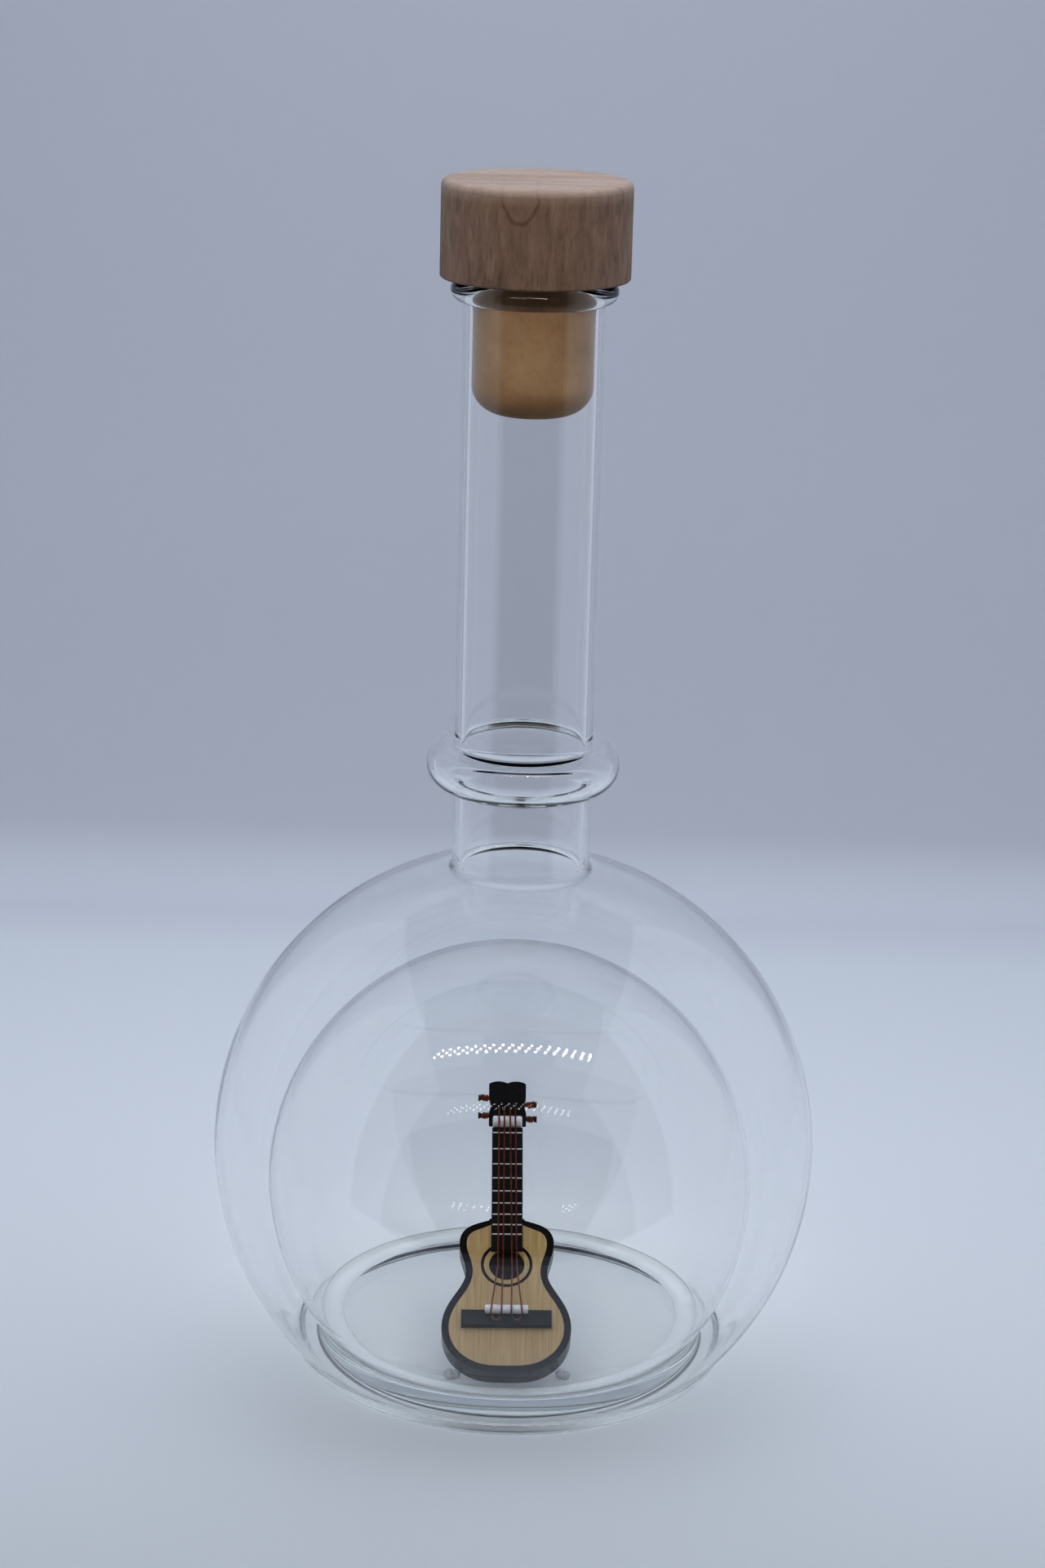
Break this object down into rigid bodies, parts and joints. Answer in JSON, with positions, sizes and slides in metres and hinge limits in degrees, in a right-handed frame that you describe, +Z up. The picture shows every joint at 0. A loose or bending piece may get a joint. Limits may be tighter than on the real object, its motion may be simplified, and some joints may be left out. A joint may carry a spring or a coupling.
{
  "type": "decanter with miniature",
  "caption": "Clear blown-glass decanter with a long ringed neck and wooden stopper; a second glass globe inside it displays a miniature acoustic guitar.",
  "frame": {"origin": "centre of the base, on the surface that the bottle stands on", "axes": "+Z up along the bottle's axis towards the stopper; the guitar faces -Y; +X is to the right of someone who faces the guitar"},
  "size_m": [0.1004, 0.1004, 0.1979],
  "materials": {
    "bottle_glass": "clear, polished",
    "clear_disc": "clear acrylic, polished",
    "clear_glue": "milky clear",
    "head_wood": "bare turned beech, fine grain",
    "shank_cork": "smooth fine cork",
    "black_lacquer": "gloss black lacquer",
    "black_satin": "satin black",
    "top_wood": "pale satin veneer",
    "fret_metal": "bright wire",
    "white_plastic": "white, slightly translucent",
    "copper_wire": "enamelled copper wire",
    "peg_black": "dark knob"
  },
  "bodies": {
    "bottle": {"bottle_neck": "bottle_glass", "neck_bulge": "bottle_glass", "shoulder": "bottle_glass", "outer_globe": "bottle_glass", "inner_globe": "bottle_glass", "foot_ring": "bottle_glass", "floor_disc": "clear_disc", "disc_seal": "clear_glue", "glue_lumps": "clear_glue", "guitar_back": "black_lacquer", "guitar_sides": "black_lacquer", "guitar_binding": "black_lacquer", "guitar_rosette": "black_lacquer", "guitar_top": "top_wood", "guitar_neck": "black_lacquer", "guitar_headstock": "black_lacquer", "fingerboard": "black_satin", "bridge": "black_satin", "frets": "fret_metal", "nut": "white_plastic", "saddle": "white_plastic", "string_pair_left": "copper_wire", "string_pair_right": "copper_wire", "peg_shafts": "copper_wire", "peg_knobs": "peg_black"},
    "stopper": {"stopper_head": "head_wood", "stopper_shank": "shank_cork"}
  },
  "joints": [
    {"name": "stopper_pull", "type": "slide", "parent": "bottle", "child": "stopper", "axis": [0, 0, 1], "range_m": [0, 0.045]}
  ]
}
